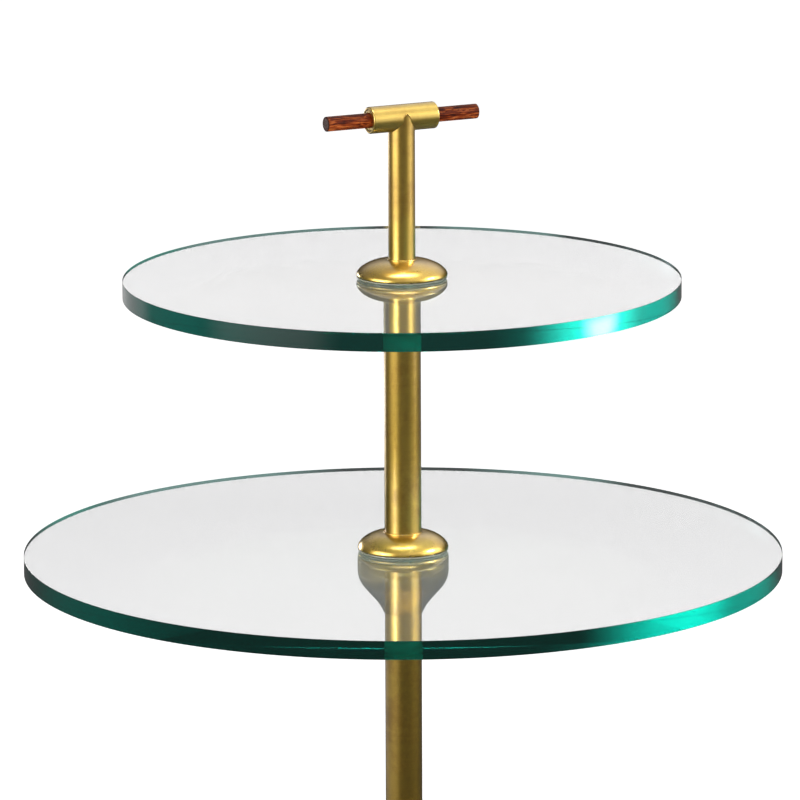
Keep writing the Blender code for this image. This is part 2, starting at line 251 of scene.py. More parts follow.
@dataclass(frozen=True)
class Brass(NodeMaterial):
    """Turned and hand-polished brass, unlacquered: warm, with brown patches where it has dulled.

    The lathe and the polishing cloth leave fine lines round the piece's axis, too fine for this
    picture, so they are drawn 0.7 mm apart. Hard wax gives the metal a paler gloss at a slant.
    """

    clean: str
    dulled: str
    roughness: float
    wax_roughness: float = 0.2
    bar: BarAxis | None = None
    line_spacing: float = 0.0007
    line_depth: float = 0.0000012
    line_share: float = 0.3
    patch_size: float = 0.018
    patch_range: Ramp = Ramp(0.38, 0.72)
    patch_share: float = 0.72
    wave_size: float = 0.009
    wave_depth: float = 0.00003
    rubbed_share: float = 0.85
    dulled_share: float = 1.3
    wax: float = 1.0
    wax_ior: float = 1.62

    def outputs(self, add: AddNode) -> dict[str, Socket]:
        """Lays lathe lines, dulled patches and a coat of wax over the metal."""
        if self.bar is None:
            place = add("TexCoord", output="Object")
        else:
            # The bar's own axis is turned on to Z, so that the lines run round it.
            place = add("Mapping", {"Vector": self.bar.level(add), "Rotation": (0, -math.pi / 2, 0)})
        parts = add("SeparateXYZ", [place]).node.outputs
        flat = add("CombineXYZ", [parts[0], parts[1]])
        radius = add("VectorMath", [flat], "Value", operation="LENGTH")
        rings = add("CombineXYZ", [radius, parts[2]])
        lines = add(
            "TexNoise", {"Vector": rings, "Scale": 1 / self.line_spacing, "Detail": 3.0, "Roughness": 0.6}
        )
        patches = add(
            "TexNoise", {"Vector": place, "Scale": 1 / self.patch_size, "Detail": 6.0, "Roughness": 0.62}
        )
        waves = add("TexNoise", {"Vector": place, "Scale": 1 / self.wave_size, "Detail": 1.0})
        age = add("MapRange", [patches, *self.patch_range], **SMOOTH)
        fine = add("Math", [lines, self.line_share], operation="MULTIPLY")
        amount = add("Math", [age, self.patch_share, fine], operation="MULTIPLY_ADD")
        colour = add("Mix", {0: amount, 6: linear(self.clean), 7: linear(self.dulled)}, **COLOURS)
        rubbed, dull = self.roughness * self.rubbed_share, self.roughness * self.dulled_share
        unevenness = add("Bump", {"Height": waves, "Distance": self.wave_depth, "Strength": 1.0})
        bump = add("Bump", {"Height": lines, "Distance": self.line_depth, "Normal": unevenness})
        surface = {
            "Base Color": colour,
            "Metallic": 1.0,
            "Roughness": add("MapRange", [amount, 0.0, 1.0, rubbed, dull]),
            "Coat Weight": self.wax,
            "Coat Roughness": self.wax_roughness,
            "Coat IOR": self.wax_ior,
            "Normal": bump,
        }
        return {"Surface": add("BsdfPrincipled", surface)}


@dataclass(frozen=True)
class PlateGlass(NodeMaterial):
    """Soda-lime float glass, ground and polished at its edge.

    Iron in the melt takes out red light, so the faces look clear and the edge, where light has come
    the long way through the disc, looks deep green.
    """

    name: str = "float plate glass"
    face_tint: str = WHITE
    edge_tint: str = "#10e6d6"
    depth_tint: str = "#00d5d0"
    absorption: float = 9.0
    ior: float = 1.52
    roughness: float = 0.0
    lying_flat: Ramp = Ramp(0.2, 0.9)
    dust: str = "#ebe9e4"
    bloom_forward: float = 0.11
    bloom: Ramp = Ramp(0.2, 0.15, 0.0, 0.08)
    ground: str = "#6fc4ad"
    ground_radius: float = 0.009
    shadow_edge: str = "#1d4f45"
    shadow_face: str = "#eef7f4"

    def outputs(self, add: AddNode) -> dict[str, Socket]:
        """Tints the edge, the depth and the shadow of clear glass, and its ground hole."""
        upright = add("SeparateXYZ", [add("NewGeometry", output="True Normal")], "Z")
        flatness = add("Math", [upright], operation="ABSOLUTE")
        mask = add("MapRange", [flatness, *self.lying_flat])
        tint = add("Mix", {0: mask, 6: linear(self.edge_tint), 7: linear(self.face_tint)}, **COLOURS)
        clear_glass = {
            "Base Color": tint,
            "Metallic": 0.0,
            "Roughness": self.roughness,
            "IOR": self.ior,
            "Transmission Weight": 1.0,
        }
        surface = add("BsdfPrincipled", clear_glass)
        # A faint bloom of handling lies on the faces where people reach over them, ahead of the column.
        path = add("LightPath").node.outputs
        parts = add("SeparateXYZ", [add("TexCoord", output="Object")]).node.outputs
        flat = add("CombineXYZ", [parts[0], parts[1]])
        ahead = add("VectorMath", [flat, (0.0, self.bloom_forward, 0.0)], operation="ADD")
        around = add("VectorMath", [ahead], "Value", operation="LENGTH")
        handled = add("MapRange", [around, *self.bloom], **SMOOTH)
        on_face = add("Math", [handled, mask], operation="MULTIPLY")
        share = add("Math", [on_face, path["Is Camera Ray"]], operation="MULTIPLY")
        dust = add("BsdfDiffuse", {"Color": linear(self.dust)})
        surface = add("MixShader", [share, surface, dust])
        # The drilled hole's wall is left ground, and shows as a frosted, paler green.
        reach = add("VectorMath", [flat], "Value", operation="LENGTH")
        at_hole = add("Math", [reach, self.ground_radius], operation="LESS_THAN")
        ground = add("BsdfDiffuse", {"Color": linear(self.ground)})
        surface = add("MixShader", [at_hole, surface, ground])
        # Light that comes in through the edge is mostly lost in the glass.
        lost = add("Mix", {0: mask, 6: linear(self.shadow_edge), 7: linear(self.shadow_face)}, **COLOURS)
        shadow = add("BsdfTransparent", {"Color": lost})
        surface = add("MixShader", [path["Is Shadow Ray"], surface, shadow])
        depth = add("VolumeAbsorption", {"Color": linear(self.depth_tint), "Density": self.absorption})
        return {"Surface": surface, "Volume": depth}


@dataclass(frozen=True)
class ClearVinyl(NodeMaterial):
    """Die-cut clear PVC sheet, yellowed with age and slightly cloudy."""

    name: str = "clear PVC washer"
    colour: str = "#e6dfc9"
    clouded: str = "#cdc6ae"
    roughness: float = 0.22
    ior: float = 1.53
    clearness: float = 0.6
    cloud_size: float = 0.004

    def outputs(self, add: AddNode) -> dict[str, Socket]:
        """Clouds the sheet."""
        place = add("TexCoord", output="Object")
        clouds = add("TexNoise", {"Vector": place, "Scale": 1 / self.cloud_size, "Detail": 3.0})
        colour = add("Mix", {0: clouds, 6: linear(self.colour), 7: linear(self.clouded)}, **COLOURS)
        surface = {
            "Base Color": colour,
            "Roughness": self.roughness,
            "IOR": self.ior,
            "Transmission Weight": self.clearness,
        }
        return {"Surface": add("BsdfPrincipled", surface)}


@dataclass(frozen=True)
class Rosewood(NodeMaterial):
    """Oiled rosewood, turned to a rod: orange-brown with dark wavy streaks and open pores along it."""

    name: str = "oiled rosewood"
    bar: BarAxis = BAR
    light: str = "#b65c28"
    middle: str = "#7c2d0c"
    dark: str = "#3f1206"
    light_from: float = 0.62
    middle_at: float = 0.49
    dark_to: float = 0.38
    pore: str = "#1c0603"
    end_grain: str = "#2c1008"
    grain: tuple[float, float] = (0.016, 0.0011)
    pores: tuple[float, float] = (0.004, 0.0005)
    pore_range: Ramp = Ramp(0.54, 0.66, 0.0, 0.8)
    pore_depth: float = 0.00008
    sway_size: float = 0.009
    sway: float = 0.0022
    end_range: Ramp = Ramp(0.05645, 0.05685)

    def outputs(self, add: AddNode) -> dict[str, Socket]:
        """Draws the grain and the pores along the rod, and darkens its ends."""
        along = self.bar.level(add)
        noise = add("TexNoise", {"Vector": along, "Scale": 1 / self.sway_size, "Detail": 1.0}, "Color")
        shift = add("VectorMath", [noise, (0.5, 0.5, 0.5)], operation="SUBTRACT")
        across = (0.0, self.sway, self.sway)
        swayed = add("VectorMath", [shift, across, along], operation="MULTIPLY_ADD")
        # Grain and pores are drawn out along the rod: a length and a width each.
        grain, pores = (
            add("Mapping", {"Vector": swayed, "Scale": (1 / length, 1 / width, 1 / width)})
            for length, width in (self.grain, self.pores)
        )
        streaks = {"Vector": grain, "Scale": 1.0, "Detail": 4.0, "Roughness": 0.55, "Distortion": 0.4}
        wood = add("ValToRGB", [add("TexNoise", streaks)])
        stops = wood.node.color_ramp.elements
        stops[0].position, stops[0].color = self.dark_to, linear(self.dark)
        stops[1].position, stops[1].color = self.light_from, linear(self.light)
        stops.new(self.middle_at).color = linear(self.middle)
        pitting = add("TexNoise", {"Vector": pores, "Scale": 1.0, "Detail": 2.0})
        pit = add("MapRange", [pitting, *self.pore_range])
        wood = add("Mix", {0: pit, 6: wood, 7: linear(self.pore)}, **COLOURS)
        # The sawn ends drink more oil and are nearly black.
        off = add("Math", {0: add("SeparateXYZ", [along])}, operation="ABSOLUTE")
        at_end = add("MapRange", [off, *self.end_range])
        surface = {
            "Base Color": add("Mix", {0: at_end, 6: wood, 7: linear(self.end_grain)}, **COLOURS),
            "Roughness": 0.36,
            "IOR": 1.45,
            "Specular IOR Level": 0.1,
            "Coat Weight": 0.05,
            "Coat Roughness": 0.15,
            "Normal": add("Bump", {"Height": pit, "Distance": self.pore_depth}, invert=True),
        }
        return {"Surface": add("BsdfPrincipled", surface)}


@dataclass(frozen=True)
class Mottled(NodeMaterial):
    """A finish whose look is a base colour broken up by a grain: plating, castings, nylon or felt."""

    colour: str
    second: str
    roughness: float
    grain_size: float
    grain_depth: float
    metallic: float = 0.0
    detail: float = 4.0
    sheen: float = 0.0
    subsurface: float = 0.0
    subsurface_radius: tuple[float, float, float] = (0.002, 0.002, 0.0016)
    cloud_grains: int = 12
    second_range: Ramp = Ramp(0.12, 0.42)
    grain_range: tuple[float, float] = (0.3, 0.7)
    smooth_share: float = 0.85
    rough_share: float = 1.15

    def outputs(self, add: AddNode) -> dict[str, Socket]:
        """Breaks up the base colour, the gloss and the surface by the grain."""
        place = add("TexCoord", output="Object")
        fine = {"Scale": 1 / self.grain_size, "Detail": self.detail, "Roughness": 0.65}
        coarse = {"Scale": 1 / (self.grain_size * self.cloud_grains), "Detail": 2.0}
        grain = add("TexNoise", {"Vector": place, **fine})
        cloud = add("TexNoise", {"Vector": place, **coarse})
        blend = add("Math", [grain, cloud], operation="MULTIPLY")
        amount = add("MapRange", [blend, *self.second_range])
        colour = add("Mix", {0: amount, 6: linear(self.colour), 7: linear(self.second)}, **COLOURS)
        smooth, rough = self.roughness * self.smooth_share, min(1.0, self.roughness * self.rough_share)
        surface = {
            "Base Color": colour,
            "Metallic": self.metallic,
            "Roughness": add("MapRange", [grain, *self.grain_range, smooth, rough]),
            "Sheen Weight": self.sheen,
            "Subsurface Weight": self.subsurface,
            "Subsurface Radius": self.subsurface_radius,
            "Normal": add("Bump", {"Height": grain, "Distance": self.grain_depth}),
        }
        return {"Surface": add("BsdfPrincipled", surface)}


class Finish(Enum):
    """The finishes, each with the record's material slot and its recipe."""

    SATIN_BRASS = "satin_brass", Brass("satin drawn brass", "#cea83c", "#9e7826", 0.32)
    BAR_BRASS = "satin_brass", Brass(
        "satin turned brass of the bar", "#d2b24e", "#ac8834", 0.32, bar=BAR
    )
    POLISHED_BRASS = "polished_brass", Brass("polished turned brass", "#dab54a", "#b88e30", 0.29, 0.1)
    GLASS = "plate_glass", PlateGlass()
    VINYL = "clear_vinyl", ClearVinyl()
    ROSEWOOD = "rosewood", Rosewood()
    STEEL = "steel", Mottled(
        "zinc-plated steel", "#b9bcc0", "#8e9196", 0.34, 0.0012, 0.00001, metallic=1.0
    )
    NYLON = "nylon", Mottled(
        "natural nylon", "#e6e4d8", "#d8d5c6", 0.45, 0.0008, 0.000005, subsurface=0.2
    )
    IRON = "cast_iron", Mottled(
        "black painted cast iron", "#1b1b1c", "#2c2b2b", 0.62, 0.0014, 0.00015, detail=6.0
    )
    FELT = "felt", Mottled(
        "pressed wool felt", "#1c2f22", "#2c4433", 0.95, 0.0009, 0.0003, detail=8.0, sheen=0.4
    )

    def __init__(self, slot: str, recipe: NodeMaterial) -> None:
        """Keeps both under names of their own."""
        self.slot = slot
        self.recipe = recipe


# Turned shapes


@dataclass(frozen=True)
class Corner:
    """One corner of a turned piece's half outline."""

    radius: float
    height: float
    fillet: float = 0.0
    segments: int = 4


def spun(mesh: bmesh.types.BMesh, steps: int) -> bmesh.types.BMesh:
    """Spins a wire in the XZ plane once round Z.

    Args:
        mesh: The wire, which becomes the solid.
        steps: Steps round the axis.

    Returns:
        The solid, closed and with its faces pointing outwards.
    """
    bmesh.ops.spin(
        mesh,
        geom=mesh.verts[:] + mesh.edges[:],
        cent=(0, 0, 0),
        axis=(0, 0, 1),
        angle=math.tau,
        steps=steps,
        use_merge=True,
    )
    bmesh.ops.remove_doubles(mesh, verts=mesh.verts[:], dist=MERGE_DISTANCE)
    bmesh.ops.recalc_face_normals(mesh, faces=mesh.faces[:])
    return mesh


class Outline:
    """A turned piece's half outline, drawn as a wire in the XZ plane and spun about Z."""

    def __init__(self, corners: Sequence[Corner], closed: bool = True) -> None:
        """Draws the wire and rounds its corners.

        Args:
            corners: The corners in order.
            closed: Whether the last corner joins the first; if not, both ends are on the axis.
        """
        self.wire = bmesh.new()
        points = [self.wire.verts.new((corner.radius, 0, corner.height)) for corner in corners]
        pairs = list(zip(points, points[1:]))
        if closed:
            pairs.append((points[-1], points[0]))
        for pair in pairs:
            self.wire.edges.new(pair)
        for index, corner in enumerate(corners):
            if corner.fillet:
                self._round(corner, corners[index - 1], corners[(index + 1) % len(corners)])

    def _bevel(self, radius: float, height: float, **settings) -> None:
        """Bevels the wire's vertex nearest to a place.

        Args:
            radius: The place's distance from the axis.
            height: The place's height.
            settings: The bevel's offset, offset_type, segments and profile.
        """
        vertex = self._point(radius, height)
        bmesh.ops.bevel(self.wire, geom=[vertex], affect="VERTICES", material=-1, **settings)

    def _point(self, radius: float, height: float) -> bmesh.types.BMVert:
        """Finds the wire's vertex nearest to a place."""
        place = Vector((radius, 0, height))
        return min(self.wire.verts, key=lambda vertex: (vertex.co - place).length)

    def _round(self, corner: Corner, before: Corner, after: Corner) -> None:
        """Rounds one corner with a circular arc of its fillet radius.

        Args:
            corner: The corner to round.
            before: The corner in front of it.
            after: The corner behind it.
        """
        here = Vector((corner.radius, corner.height))
        arrive = (here - Vector((before.radius, before.height))).normalized()
        leave = (Vector((after.radius, after.height)) - here).normalized()
        half_turn = arrive.angle(leave) / 2
        reach = corner.fillet * math.tan(half_turn)
        if corner.segments > 1:
            vertex = self._point(corner.radius, corner.height)
            for edge in list(vertex.link_edges):
                if edge.calc_length() > reach + 2 * HOLDING_WIDTH:
                    bmesh.utils.edge_split(edge, vertex, (reach + HOLDING_WIDTH) / edge.calc_length())
        # Half way along, a true arc lies at this share of the way from its chord to the corner.
        share = math.cos(half_turn) / (1 + math.cos(half_turn))
        self._bevel(
            corner.radius,
            corner.height,
            offset=reach * GRAZING_INSET,
            offset_type="OFFSET",
            segments=corner.segments,
            profile=((1 + share) / 2) ** 2,
        )

    def dome(self, radius: float, height: float, segments: int, profile: float) -> None:
        """Turns the corner at a place into a dome that takes up both of its sides.

        Args:
            radius: The corner's distance from the axis.
            height: The corner's height.
            segments: Steps along the dome.
            profile: Fullness, where 0.5 is a plain ellipse.
        """
        percent = 100 * GRAZING_INSET
        self._bevel(
            radius, height, offset=percent, offset_type="PERCENT", segments=segments, profile=profile
        )

    def turned(self, steps: int) -> bmesh.types.BMesh:
        """Spins the wire into a closed solid, in this many steps."""
        bmesh.ops.remove_doubles(self.wire, verts=self.wire.verts[:], dist=MERGE_DISTANCE)
        return spun(self.wire, steps)


def bar_outline(
    inner: float, outer: float, length: float, fillet: float, segments: int = 3, floor: float = 0.0
) -> Outline:
    """The outline of a tube, flat ring or solid bar.

    Args:
        inner: The bore's radius, or 0 for a solid bar.
        outer: The outer radius.
        length: How tall it is.
        fillet: The rounding of its outer edges.
        segments: Steps along each rounding.
        floor: The height of its lower end.

    Returns:
        The outline.
    """
    ends = (floor, floor + length)
    outside = [Corner(outer, height, fillet, segments) for height in ends]
    return Outline([Corner(inner, ends[0]), *outside, Corner(inner, ends[1])], closed=inner > 0)


def floor_of(node: str) -> float:
    """The lowest height of a CAD node."""
    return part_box(node)[0].z


def height_of(node: str) -> float:
    """How tall a CAD node is."""
    low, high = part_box(node)
    return high.z - low.z


def top_of(node: str) -> Matrix:
    """The place on the column's axis at the top of a CAD node, to hang a piece from."""
    return Matrix.Translation((0, 0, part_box(node)[1].z))


@dataclass
class Bench:
    """Where pieces are finished: it turns a mesh into a named object that rides on its body."""

    finishes: dict[Finish, bpy.types.Material]

    def finish(
        self,
        mesh: bmesh.types.BMesh,
        name: str,
        finish: Finish,
        node: str = "",
        body: Body = Body.TABLE,
        place: Matrix | None = None,
    ) -> None:
        """Makes an object of a finished mesh and tells the frame about it.

        Args:
            mesh: The mesh, which is used up.
            name: The piece's name.
            finish: Its finish.
            node: The CAD node that it stands for, if any.
            body: The body that it rides on.
            place: Where it goes, or None to stand it where its CAD node stands.
        """
        if place is None:
            place = Matrix.Translation((0, 0, floor_of(node)))
        bmesh.ops.transform(mesh, matrix=place, verts=mesh.verts[:])
        data = bpy.data.meshes.new(name)
        mesh.to_mesh(data)
        mesh.free()
        data.shade_smooth()
        data.set_sharp_from_angle(angle=SHARP_ANGLE)
        data.materials.append(self.finishes[finish])
        piece = shown(name, data)
        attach(piece, body.value)
        if node:
            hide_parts(node)
        log.info("%s: %d faces, %s", name, len(data.polygons), finish.recipe.name)

    def repaint(self, frame: dict, nodes: Sequence[str], finish: Finish) -> None:
        """Gives CAD nodes that stay a finish.

        Args:
            nodes: The nodes' names.
            finish: Their finish.
        """
        for name in nodes:
            for slot in frame["nodes"][name].material_slots:
                slot.material = self.finishes[finish]
            log.info("%s: CAD solid, %s", name, finish.recipe.name)


# Sub-assemblies


@dataclass
class BunCollar:
    """A domed brass collar with a socket for a tube in its top."""

    diameter: float = 0.0623
    height: float = 0.0112
    edge: float = 0.0007
    rim: float = 0.0004
    lip: float = 0.0006
    socket_floor: float = 0.0057
    bore_radius: float = 0.0053
    nut_bore_radius: float = 0.0073
    fullness: float = 0.453
    dome_segments: int = 24
    steps: int = 144

    def mesh(self, socket_radius: float, recess: tuple[float, float] | None = None) -> bmesh.types.BMesh:
        """Turns the collar, standing on 0.

        Args:
            socket_radius: The radius of the tube's socket.
            recess: Radius and depth of a recess in the underside, or None.

        Returns:
            The collar's mesh.
        """
        radius = self.diameter / 2
        bore = self.bore_radius
        corners = [Corner(bore, 0)]
        if recess is not None:
            bore = self.nut_bore_radius
            corners = [Corner(bore, recess[1]), Corner(recess[0], recess[1]), Corner(recess[0], 0)]
        corners += [
            Corner(radius, 0, self.edge),
            Corner(radius, self.edge),
            Corner(radius, self.height),
            Corner(socket_radius + self.lip, self.height),
            Corner(socket_radius + self.lip, self.height + self.lip, self.rim),
            Corner(socket_radius, self.height + self.lip),
            Corner(socket_radius, self.socket_floor),
            Corner(bore, self.socket_floor),
        ]
        outline = Outline(corners)
        outline.dome(radius, self.height, self.dome_segments, self.fullness)
        return outline.turned(self.steps)


@dataclass
class BellSupport:
    """The brass bell under the lower glass: a short skirt, a round shoulder, a cone and a lip."""

    radius: float = 0.0313
    skirt: float = 0.0094
    shoulder: float = 0.0184
    cone: float = math.radians(41)
    flare: float = 0.032
    lip: float = math.radians(22)
    lip_width: float = 0.0006
    socket_radius: float = 0.013
    socket_depth: float = 0.018
    bore_radius: float = 0.0053
    rim: float = 0.0004
    shoulder_segments: int = 14
    flare_segments: int = 10
    steps: int = 144

    def mesh(self) -> bmesh.types.BMesh:
        """Turns the bell, hanging down from 0."""
        lip_radius = self.socket_radius + self.lip_width
        shoulder_reach = self.shoulder * math.tan(self.cone / 2)
        flare_reach = self.flare * math.tan((self.cone - self.lip) / 2)
        shoulder_corner = Vector((self.radius, -self.skirt - shoulder_reach))
        down_cone = Vector((-math.sin(self.cone), -math.cos(self.cone)))
        down_lip = Vector((-math.sin(self.lip), -math.cos(self.lip)))
        after_lip = flare_reach * -down_lip.x
        cone_length = (self.radius - lip_radius - after_lip) / -down_cone.x
        flare_corner = shoulder_corner + down_cone * cone_length
        foot = flare_corner + down_lip * flare_reach
        socket_top = foot.y + self.socket_depth
        outline = [
            Corner(self.bore_radius, 0),
            Corner(self.radius, 0, self.rim),
            Corner(*shoulder_corner, self.shoulder, self.shoulder_segments),
            Corner(*flare_corner, self.flare, self.flare_segments),
            Corner(*foot),
            Corner(self.socket_radius, foot.y),
            Corner(self.socket_radius, socket_top),
            Corner(self.bore_radius, socket_top),
        ]
        return Outline(outline).turned(self.steps)


@dataclass
class GlassTier:
    """One round glass with a clear washer on each side of it."""

    name: str
    hole_radius: float = 0.0085
    arris: float = 0.00012
    steps: int = 320
    washer_steps: int = 96
    washer_edge: float = 0.0002
    rod_bore: float = 0.0053
    ring_bore: float = 0.0093

    def build(self, bench: Bench) -> None:
        """Turns the glass and its washers in the places of their CAD nodes."""
        node = f"{self.name}_glass"
        disc = bar_outline(self.hole_radius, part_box(node)[1].x, height_of(node), self.arris, 1)
        bench.finish(disc.turned(self.steps), f"{self.name}_disc", Finish.GLASS, node)
        for side in ("top", "bottom"):
            node = f"{self.name}_{side}_washer"
            bore = self.ring_bore if node == "upper_top_washer" else self.rod_bore
            pad = bar_outline(bore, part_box(node)[1].x, height_of(node), self.washer_edge)
            bench.finish(pad.turned(self.washer_steps), f"{self.name}_{side}_pad", Finish.VINYL, node)


@dataclass
class Column:
    """The drawn brass tubes and the collars and bell that hold the glasses between them."""

    radius: float = 0.0127
    wall: float = 0.0016
    tube_edge: float = 0.0003
    tube_steps: int = 128
    socket_radius: float = 0.013
    bun: BunCollar = field(default_factory=BunCollar)
    bell: BellSupport = field(default_factory=BellSupport)

    def build(self, bench: Bench) -> None:
        """Turns the tubes, the three buns of the table's own body and the bell."""
        for node in ("lower_tube", "middle_tube"):
            tube = bar_outline(self.radius - self.wall, self.radius, height_of(node), self.tube_edge)
            bench.finish(tube.turned(self.tube_steps), f"{node}_drawn", Finish.SATIN_BRASS, node)
        upside_down = top_of("upper_support") @ Matrix.Rotation(math.pi, 4, "X")
        for node, place in (("base_collar", None), ("lower_collar", None), ("upper_support", upside_down)):
            bun = self.bun.mesh(self.socket_radius)
            bench.finish(bun, f"{node}_bun", Finish.POLISHED_BRASS, node, place=place)
        node = "lower_support"
        bench.finish(self.bell.mesh(), f"{node}_bell", Finish.SATIN_BRASS, node, place=top_of(node))


@dataclass
class RoundBase:
    """The weighted base: a felt ring under a spun brass cover."""

    wall: float = 0.0016
    corner: float = 0.007
    corner_segments: int = 10
    hole_radius: float = 0.0053
    rim: float = 0.0004
    felt_hole_radius: float = 0.026
    felt_edge: float = 0.0006
    steps: int = 256

    def build(self, bench: Bench) -> None:
        """Spins the cover and cuts the felt ring."""
        radius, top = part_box("base_cover")[1].x, height_of("base_cover")
        inside, under = radius - self.wall, top - self.wall
        cover = [
            Corner(radius, 0, self.rim),
            Corner(radius, top, self.corner, self.corner_segments),
            Corner(self.hole_radius, top),
            Corner(self.hole_radius, under),
            Corner(inside, under, self.corner - self.wall, self.corner_segments),
            Corner(inside, 0),
        ]
        mesh = Outline(cover).turned(self.steps)
        bench.finish(mesh, "base_cover_spun", Finish.SATIN_BRASS, "base_cover")
        felt_radius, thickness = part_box("base_felt")[1].x, height_of("base_felt")
        felt = bar_outline(self.felt_hole_radius, felt_radius, thickness, self.felt_edge)
        bench.finish(felt.turned(self.steps), "base_felt_ring", Finish.FELT, "base_felt")


@dataclass
class TieRod:
    """The steel rod that clamps the stack, with a rolled thread at each end."""

    crest: float = 0.005
    root: float = 0.00408
    pitch: float = 0.0015
    flat_share: float = 0.125
    spare_turns: int = 3
    thread_steps: int = 40
    shank_steps: int = 48
    foot_thread: float = 0.0135
    head_thread: float = 0.036
    overlap: float = 0.0002
    point: float = 0.0008

    def _thread(self, floor: float, top: float) -> bmesh.types.BMesh:
        """A length of thread, cut square at both ends.

        Args:
            floor: Its lower end.
            top: Its upper end.

        Returns:
            The threaded length as a closed mesh.
        """
        mesh = bmesh.new()
        flat = self.pitch * self.flat_share
        flank = self.pitch / 2 - flat
        tooth = [
            (self.root, 0.0),
            (self.root, flat),
            (self.crest, flat + flank),
            (self.crest, 2 * flat + flank),
        ]
        turns = math.ceil((top - floor) / self.pitch) + self.spare_turns
        start = floor - (self.spare_turns - 1) * self.pitch
        points = [
            mesh.verts.new((radius, 0, start + turn * self.pitch + height))
            for turn in range(turns)
            for radius, height in tooth
        ]
        wire = [mesh.edges.new(pair) for pair in zip(points, points[1:])]
        bmesh.ops.spin(
            mesh,
            geom=points + wire,
            cent=(0, 0, 0),
            axis=(0, 0, 1),
            dvec=(0, 0, self.pitch / self.thread_steps),
            angle=math.tau,
            steps=self.thread_steps,
            use_merge=False,
        )
        bmesh.ops.remove_doubles(mesh, verts=mesh.verts[:], dist=MERGE_DISTANCE)
        for height, direction in ((floor, -1), (top, 1)):
            cut = bmesh.ops.bisect_plane(
                mesh,
                geom=mesh.verts[:] + mesh.edges[:] + mesh.faces[:],
                dist=MERGE_DISTANCE,
                plane_co=(0, 0, height),
                plane_no=(0, 0, direction),
                clear_outer=True,
            )
            rim = [item for item in cut["geom_cut"] if isinstance(item, bmesh.types.BMEdge)]
            bmesh.ops.holes_fill(mesh, edges=rim)
        bmesh.ops.recalc_face_normals(mesh, faces=mesh.faces[:])
        return mesh

    def build(self, bench: Bench) -> None:
        """Makes both threads and the plain shank between them as one piece."""
        low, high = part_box("tie_rod")
        shank_floor = low.z + self.foot_thread
        shank_top = high.z - self.head_thread
        rod = self._thread(low.z, shank_floor + self.overlap)
        head = self._thread(shank_top - self.overlap, high.z)
        length = shank_top - shank_floor
        shank = bar_outline(0, self.crest, length, self.point, 2, shank_floor).turned(self.shank_steps)
        for part in (head, shank):
            data = bpy.data.meshes.new("tie_rod_part")
            part.to_mesh(data)
            part.free()
            rod.from_mesh(data)
            bpy.data.meshes.remove(data)
        bench.finish(rod, "tie_rod_threaded", Finish.STEEL, "tie_rod", place=IN_PLACE)


